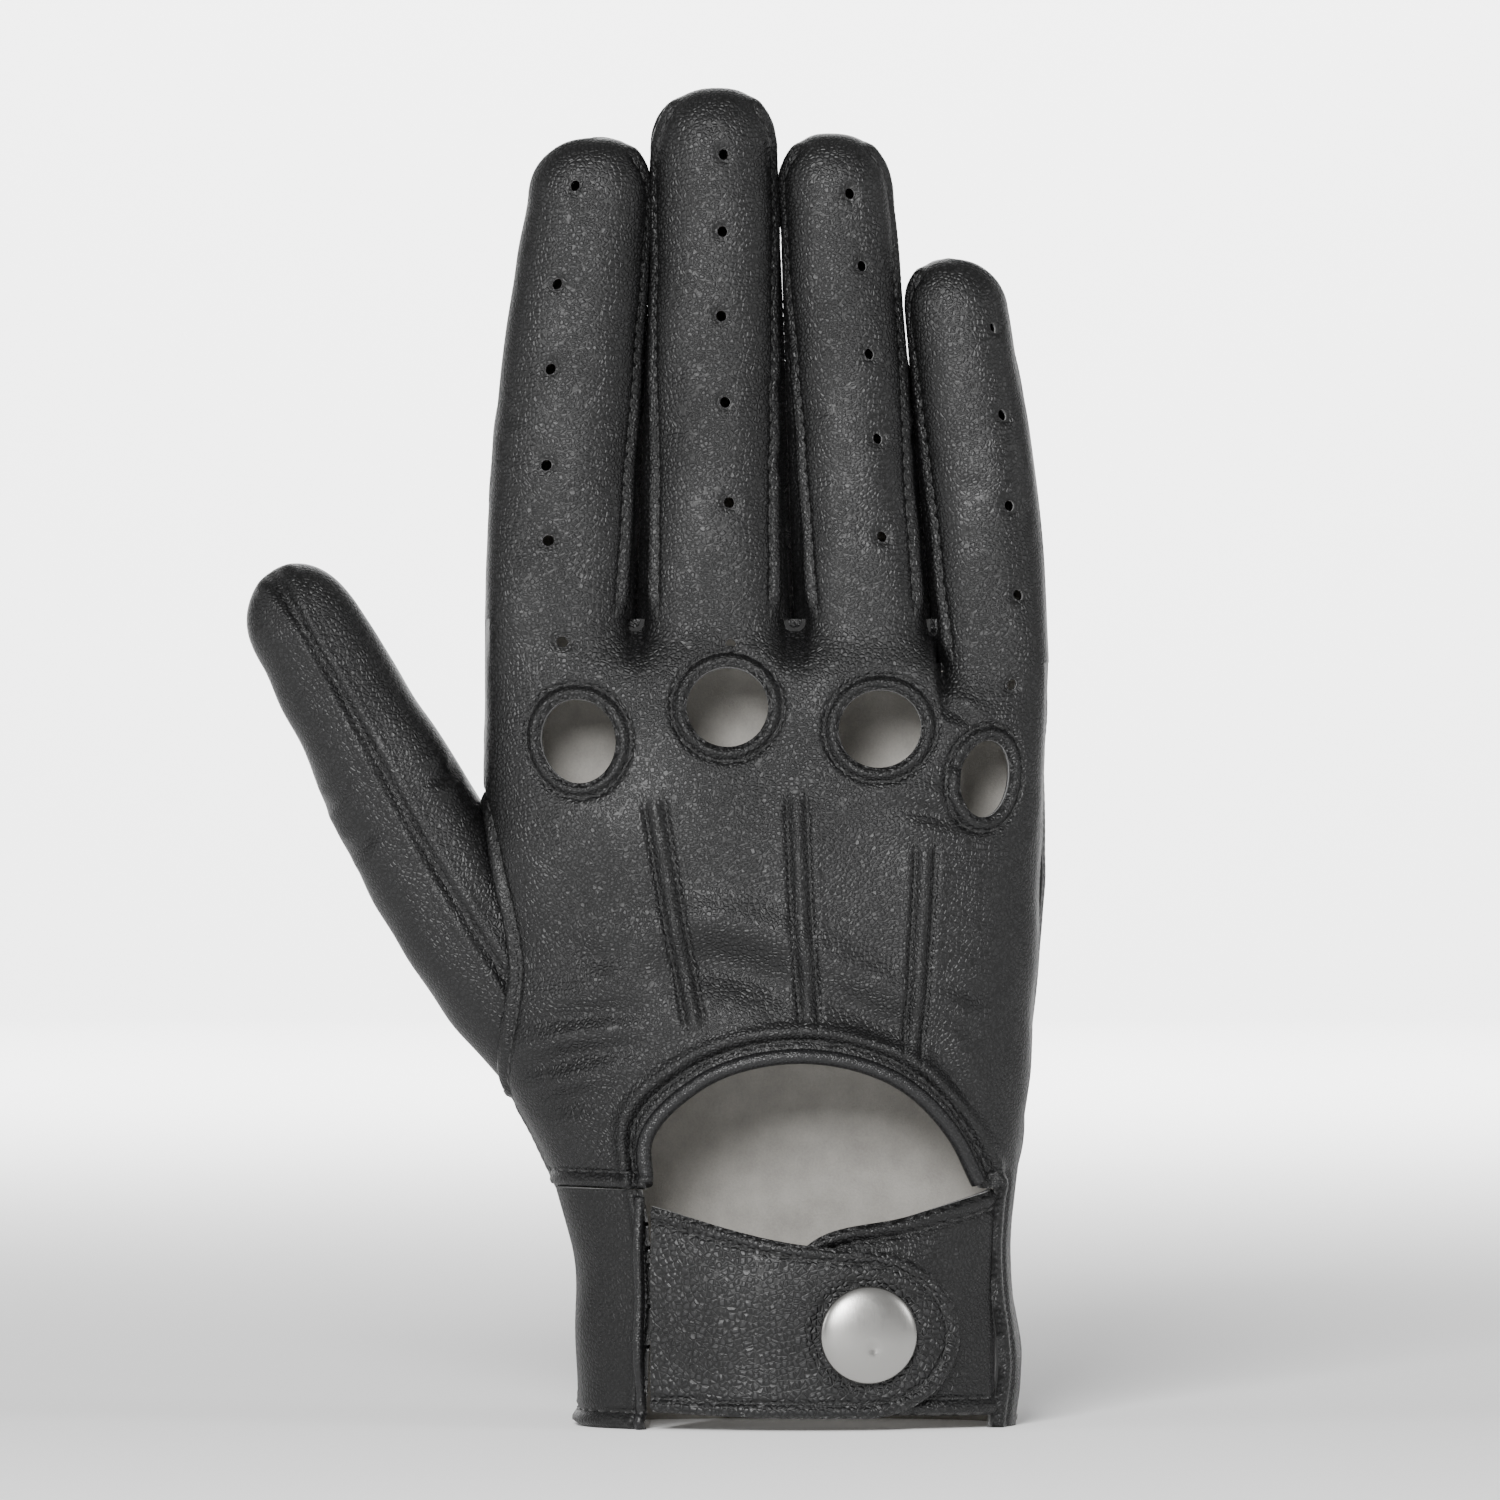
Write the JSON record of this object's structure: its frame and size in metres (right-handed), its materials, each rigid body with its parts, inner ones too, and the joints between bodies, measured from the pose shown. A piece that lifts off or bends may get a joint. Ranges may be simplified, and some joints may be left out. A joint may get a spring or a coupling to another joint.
{
  "type": "leather driving glove",
  "caption": "Right-hand driving glove in thin black leather with knuckle holes, a cut-out back and a snap-fastened wrist strap.",
  "frame": {"origin": "centre of the cuff's mouth, where the hand goes in", "axes": "+Z from the cuff towards the fingertips, -Y out of the back of the hand, +Y out of the palm, -X towards the thumb"},
  "size_m": [0.1376, 0.0472, 0.2298],
  "materials": {
    "glove_leather": "fine-grained black nappa, soft satin",
    "fourchette_leather": "smooth black nappa, satin",
    "strap_leather": "pebbled black leather, satin",
    "piping_leather": "rolled smooth black leather, satin",
    "nickel": "brushed nickel plate"
  },
  "bodies": {
    "hand": {"hand_back": "glove_leather", "hand_palm": "glove_leather", "crotch_fold_index_middle": "fourchette_leather", "crotch_fold_middle_ring": "fourchette_leather", "crotch_fold_ring_little": "fourchette_leather", "thumb_gusset": "glove_leather", "knuckle_facing_index": "glove_leather", "knuckle_facing_middle": "glove_leather", "knuckle_facing_ring": "glove_leather", "knuckle_facing_little": "glove_leather", "opening_binding": "piping_leather", "cuff_side_panel": "glove_leather", "strap_seam_piping": "piping_leather", "under_strap": "strap_leather", "snap_stud": "nickel", "snap_post": "nickel"},
    "index_lower": {"index_back_lower": "glove_leather", "index_palm_lower": "glove_leather", "index_fourchette_littleside_lower": "fourchette_leather"},
    "index_upper": {"index_back_upper": "glove_leather", "index_palm_upper": "glove_leather", "index_fourchette_littleside_upper": "fourchette_leather"},
    "middle_lower": {"middle_back_lower": "glove_leather", "middle_palm_lower": "glove_leather", "middle_fourchette_thumbside_lower": "fourchette_leather", "middle_fourchette_littleside_lower": "fourchette_leather"},
    "middle_upper": {"middle_back_upper": "glove_leather", "middle_palm_upper": "glove_leather", "middle_fourchette_thumbside_upper": "fourchette_leather", "middle_fourchette_littleside_upper": "fourchette_leather"},
    "ring_lower": {"ring_back_lower": "glove_leather", "ring_palm_lower": "glove_leather", "ring_fourchette_thumbside_lower": "fourchette_leather", "ring_fourchette_littleside_lower": "fourchette_leather"},
    "ring_upper": {"ring_back_upper": "glove_leather", "ring_palm_upper": "glove_leather", "ring_fourchette_thumbside_upper": "fourchette_leather", "ring_fourchette_littleside_upper": "fourchette_leather"},
    "little_lower": {"little_back_lower": "glove_leather", "little_palm_lower": "glove_leather", "little_fourchette_thumbside_lower": "fourchette_leather"},
    "little_upper": {"little_back_upper": "glove_leather", "little_palm_upper": "glove_leather", "little_fourchette_thumbside_upper": "fourchette_leather"},
    "thumb": {"thumb_outer_lower": "glove_leather", "thumb_inner_lower": "glove_leather", "thumb_outer_upper": "glove_leather", "thumb_inner_upper": "glove_leather"},
    "strap": {"strap": "strap_leather", "snap_cap": "nickel", "snap_socket": "nickel"}
  },
  "joints": [
    {"name": "index_base_bend", "type": "hinge", "parent": "hand", "child": "index_lower", "pos_m": [-0.04009, 0, 0.1475], "axis": [-1, 0, 0], "range_deg": [0, 60], "deforming": ["index_back_lower", "index_palm_lower", "index_fourchette_littleside_lower"]},
    {"name": "index_middle_bend", "type": "hinge", "parent": "index_lower", "child": "index_upper", "pos_m": [-0.03877, 0, 0.1655], "axis": [-1, 0, 0], "range_deg": [0, 60], "deforming": ["index_back_lower", "index_palm_lower", "index_fourchette_littleside_lower"]},
    {"name": "middle_base_bend", "type": "hinge", "parent": "hand", "child": "middle_lower", "pos_m": [-0.01385, 0, 0.1475], "axis": [-1, 0, 0], "range_deg": [0, 60], "deforming": ["middle_back_lower", "middle_palm_lower", "middle_fourchette_thumbside_lower", "middle_fourchette_littleside_lower"]},
    {"name": "middle_middle_bend", "type": "hinge", "parent": "middle_lower", "child": "middle_upper", "pos_m": [-0.01385, 0, 0.168], "axis": [-1, 0, 0], "range_deg": [0, 60], "deforming": ["middle_back_lower", "middle_palm_lower", "middle_fourchette_thumbside_lower", "middle_fourchette_littleside_lower"]},
    {"name": "ring_base_bend", "type": "hinge", "parent": "hand", "child": "ring_lower", "pos_m": [0.01162, 0, 0.1475], "axis": [-1, 0, 0], "range_deg": [0, 60], "deforming": ["ring_back_lower", "ring_palm_lower", "ring_fourchette_thumbside_lower", "ring_fourchette_littleside_lower"]},
    {"name": "ring_middle_bend", "type": "hinge", "parent": "ring_lower", "child": "ring_upper", "pos_m": [0.01033, 0, 0.166], "axis": [-1, 0, 0], "range_deg": [0, 60], "deforming": ["ring_back_lower", "ring_palm_lower", "ring_fourchette_thumbside_lower", "ring_fourchette_littleside_lower"]},
    {"name": "little_base_bend", "type": "hinge", "parent": "hand", "child": "little_lower", "pos_m": [0.03356, 0, 0.1385], "axis": [-1, 0, 0], "range_deg": [0, 60], "deforming": ["little_back_lower", "little_palm_lower", "little_fourchette_thumbside_lower"]},
    {"name": "little_middle_bend", "type": "hinge", "parent": "little_lower", "child": "little_upper", "pos_m": [0.03193, 0, 0.154], "axis": [-1, 0, 0], "range_deg": [0, 60], "deforming": ["little_back_lower", "little_palm_lower", "little_fourchette_thumbside_lower"]},
    {"name": "thumb_bend", "type": "hinge", "parent": "hand", "child": "thumb", "pos_m": [-0.06858, 0.002, 0.11012], "axis": [-0.8643, 0, -0.503], "range_deg": [0, 40], "deforming": ["thumb_outer_lower", "thumb_inner_lower"]},
    {"name": "strap_open", "type": "hinge", "parent": "hand", "child": "strap", "pos_m": [-0.025, -0.0185, 0.02], "axis": [0, 0, -1], "range_deg": [0, 150]}
  ],
  "couplings": [
    {"joint": "index_middle_bend", "follows": "index_base_bend", "ratio": 1},
    {"joint": "middle_middle_bend", "follows": "middle_base_bend", "ratio": 1},
    {"joint": "ring_middle_bend", "follows": "ring_base_bend", "ratio": 1},
    {"joint": "little_middle_bend", "follows": "little_base_bend", "ratio": 1}
  ]
}
